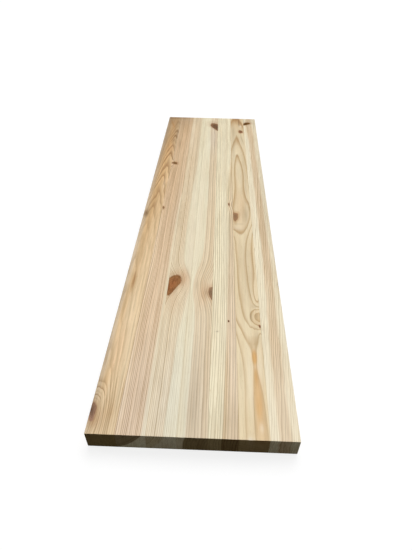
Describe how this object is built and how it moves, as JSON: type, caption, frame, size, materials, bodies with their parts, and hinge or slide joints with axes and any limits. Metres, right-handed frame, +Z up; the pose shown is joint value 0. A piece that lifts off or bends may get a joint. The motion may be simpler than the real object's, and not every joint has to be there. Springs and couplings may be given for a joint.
{
  "type": "edge-glued pine board",
  "caption": "Flat rectangular board of pine staves glued edge to edge, planed and sanded, with lightly eased arrises; stock for shelves, treads and furniture.",
  "frame": {"origin": "centre of the underside, where the board rests on a level floor", "axes": "+Y along the grain towards the far end of the picture, +X across the staves to the right, +Z up through the thickness"},
  "size_m": [0.25, 1, 0.028],
  "materials": {
    "orange_heartwood": "planed and sanded, no coating",
    "tan_heartwood": "planed and sanded, no coating",
    "cream_sapwood": "planed and sanded, no coating",
    "rosy_heartwood": "planed and sanded, no coating",
    "pale_straight_grain": "planed and sanded, no coating",
    "amber_figure": "planed and sanded, no coating",
    "straw_sapwood": "planed and sanded, no coating"
  },
  "bodies": {
    "root": {"stave_1": "orange_heartwood", "stave_2": "tan_heartwood", "stave_3": "cream_sapwood", "stave_4": "rosy_heartwood", "stave_5": "pale_straight_grain", "stave_6": "amber_figure", "stave_7": "straw_sapwood"}
  },
  "joints": []
}
